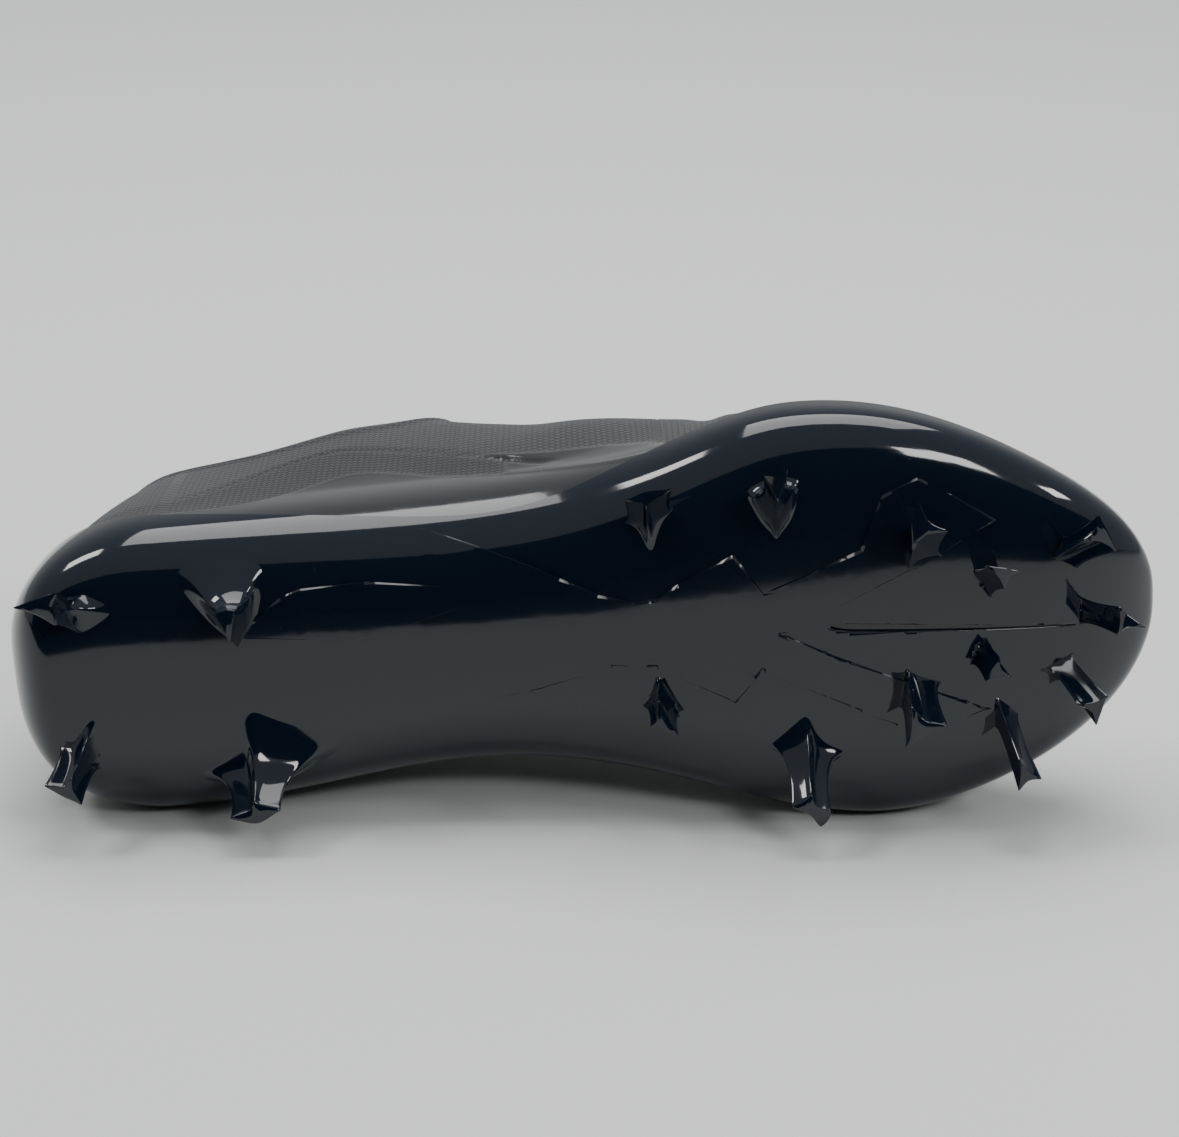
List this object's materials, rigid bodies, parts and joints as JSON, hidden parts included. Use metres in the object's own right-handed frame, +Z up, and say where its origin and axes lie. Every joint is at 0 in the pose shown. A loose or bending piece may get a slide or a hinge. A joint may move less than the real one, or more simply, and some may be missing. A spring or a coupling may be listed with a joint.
{
  "type": "american football cleat",
  "caption": "Low-cut right american football cleat lying on its medial side: moulded cleated plate, hollow knit upper, tongue, eyestay, laces and insole.",
  "frame": {"origin": "middle of the bottom of the bounding box, on the floor that the shoe lies on", "axes": "+X from heel to toe, -Y out of the sole, +Z up, towards the lateral side of the shoe"},
  "size_m": [0.2968, 0.1238, 0.1079],
  "materials": {
    "moulded_plate": "very glossy near-black navy, moulded",
    "knit": "dark grey knit with a glossy skin over its lower part",
    "lining": "plain dark sock liner",
    "tongue_knit": "dark grey padded knit",
    "film": "satin black film",
    "cord": "flat black woven lace"
  },
  "bodies": {
    "root": {"outsole_plate": "moulded_plate", "upper": "knit", "insole": "lining", "tongue": "tongue_knit", "eyestay": "film", "laces": "cord"}
  },
  "joints": []
}
